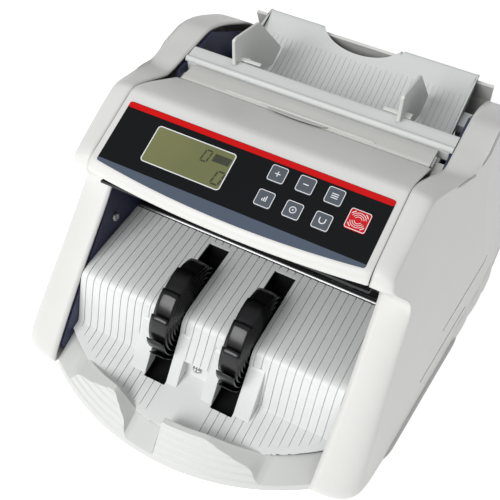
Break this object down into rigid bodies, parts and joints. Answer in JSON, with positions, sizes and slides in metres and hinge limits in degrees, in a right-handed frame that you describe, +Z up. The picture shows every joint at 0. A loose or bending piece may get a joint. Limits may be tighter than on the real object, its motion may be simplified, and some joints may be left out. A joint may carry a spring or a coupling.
{
  "type": "banknote counting machine",
  "caption": "Desktop banknote counter with a sloping black control panel, rear note hopper, bladed stacker wheels and a front catch tray in an off-white housing",
  "frame": {"origin": "middle of the footprint, on the table plane under the rubber feet", "axes": "X across the machine to the operator's right, Y from the tray at the front to the mains inlet at the rear, Z up"},
  "size_m": [0.295, 0.346, 0.1628],
  "materials": {
    "housing_plastic": "fine matt moulded grain",
    "tray_plastic": "light grey satin moulding",
    "dark_plastic": "matt black moulding",
    "white_plastic": "smooth white moulding",
    "panel_black": "printed polyester film",
    "display_green": "olive liquid crystal window",
    "key_slate": "printed film key",
    "key_red": "red printed key",
    "handle_beige": "beige grey satin moulding",
    "navy_steel": "navy powder coat",
    "bright_steel": "ground steel",
    "zinc_steel": "zinc plated steel",
    "bush_brass": "sintered bronze",
    "black_rubber": "matt black rubber",
    "board_green": "green circuit board",
    "motor_steel": "dark varnished steel"
  },
  "bodies": {
    "base": {"base_pan": "dark_plastic", "rubber_feet": "black_rubber", "left_cover": "housing_plastic", "right_cover": "housing_plastic", "console_shell": "housing_plastic", "rear_cover": "housing_plastic", "front_fence": "tray_plastic", "cover_screws": "zinc_steel", "control_panel": "panel_black", "display_module": "display_green", "key_board": "board_green", "key_switches": "dark_plastic", "stack_plate": "tray_plastic", "left_plate": "navy_steel", "right_plate": "navy_steel", "bushes": "bush_brass", "tie_rods": "bright_steel", "plate_screws": "zinc_steel", "retard_roller": "black_rubber", "retard_bracket": "zinc_steel", "lower_guide": "zinc_steel", "upper_guide": "dark_plastic", "sensor_bar": "dark_plastic", "hopper_wall": "tray_plastic", "hopper_tray": "tray_plastic", "guide_rail": "bright_steel", "handle_brackets": "white_plastic", "motor": "motor_steel", "drive_belts": "black_rubber", "main_board": "board_green", "transformer": "motor_steel", "mains_inlet": "dark_plastic", "switch_body": "dark_plastic"},
    "key_1_body": {"key_1": "key_slate"},
    "key_2_body": {"key_2": "key_slate"},
    "key_3_body": {"key_3": "key_slate"},
    "key_4_body": {"key_4": "key_slate"},
    "key_5_body": {"key_5": "key_slate"},
    "key_6_body": {"key_6": "key_slate"},
    "start_key_body": {"start_key": "key_red"},
    "stacker": {"stacker_shaft": "bright_steel", "stacker_wheels": "black_rubber", "stacker_pulley": "white_plastic"},
    "feeder": {"feed_shaft": "bright_steel", "feed_rollers": "black_rubber", "feed_pulleys": "white_plastic"},
    "picker": {"pickup_shaft": "bright_steel", "pickup_rollers": "black_rubber", "pickup_pulley": "white_plastic"},
    "rotor": {"motor_rotor": "bright_steel"},
    "left_guide_body": {"left_guide": "housing_plastic"},
    "right_guide_body": {"right_guide": "housing_plastic"},
    "handle_body": {"handle": "handle_beige"},
    "rocker_body": {"power_rocker": "key_red"}
  },
  "joints": [
    {"name": "key_1_press", "type": "slide", "parent": "base", "child": "key_1_body", "axis": [0, -0.309, 0.9511], "range_m": [-0.0008, 0], "stiffness_N_per_m": 800, "springref_m": 0.0005},
    {"name": "key_2_press", "type": "slide", "parent": "base", "child": "key_2_body", "axis": [0, -0.309, 0.9511], "range_m": [-0.0008, 0], "stiffness_N_per_m": 800, "springref_m": 0.0005},
    {"name": "key_3_press", "type": "slide", "parent": "base", "child": "key_3_body", "axis": [0, -0.309, 0.9511], "range_m": [-0.0008, 0], "stiffness_N_per_m": 800, "springref_m": 0.0005},
    {"name": "key_4_press", "type": "slide", "parent": "base", "child": "key_4_body", "axis": [0, -0.309, 0.9511], "range_m": [-0.0008, 0], "stiffness_N_per_m": 800, "springref_m": 0.0005},
    {"name": "key_5_press", "type": "slide", "parent": "base", "child": "key_5_body", "axis": [0, -0.309, 0.9511], "range_m": [-0.0008, 0], "stiffness_N_per_m": 800, "springref_m": 0.0005},
    {"name": "key_6_press", "type": "slide", "parent": "base", "child": "key_6_body", "axis": [0, -0.309, 0.9511], "range_m": [-0.0008, 0], "stiffness_N_per_m": 800, "springref_m": 0.0005},
    {"name": "start_key_press", "type": "slide", "parent": "base", "child": "start_key_body", "axis": [0, -0.309, 0.9511], "range_m": [-0.0008, 0], "stiffness_N_per_m": 800, "springref_m": 0.0005},
    {"name": "feed_spin", "type": "hinge", "parent": "base", "child": "feeder", "pos_m": [0, 0.038, 0.08], "axis": [1, 0, 0], "continuous": true},
    {"name": "stacker_spin", "type": "hinge", "parent": "base", "child": "stacker", "pos_m": [0, -0.087, 0.046], "axis": [1, 0, 0], "continuous": true},
    {"name": "pickup_spin", "type": "hinge", "parent": "base", "child": "picker", "pos_m": [0, 0.074, 0.074], "axis": [1, 0, 0], "continuous": true},
    {"name": "motor_spin", "type": "hinge", "parent": "base", "child": "rotor", "pos_m": [0, 0.078, 0.035], "axis": [1, 0, 0], "continuous": true},
    {"name": "left_guide_slide", "type": "slide", "parent": "base", "child": "left_guide_body", "axis": [1, 0, 0], "range_m": [-0.018, 0.03]},
    {"name": "right_guide_slide", "type": "slide", "parent": "base", "child": "right_guide_body", "axis": [1, 0, 0], "range_m": [-0.03, 0.024]},
    {"name": "handle_slide", "type": "slide", "parent": "base", "child": "handle_body", "axis": [0, 0, 1], "range_m": [0, 0.02]},
    {"name": "rocker_tip", "type": "hinge", "parent": "base", "child": "rocker_body", "pos_m": [0, 0.1628, 0.03], "axis": [1, 0, 0], "range_deg": [0, 8]}
  ],
  "couplings": [
    {"joint": "motor_spin", "follows": "feed_spin", "ratio": 2},
    {"joint": "stacker_spin", "follows": "feed_spin", "ratio": 0.6},
    {"joint": "pickup_spin", "follows": "feed_spin", "ratio": 1}
  ]
}
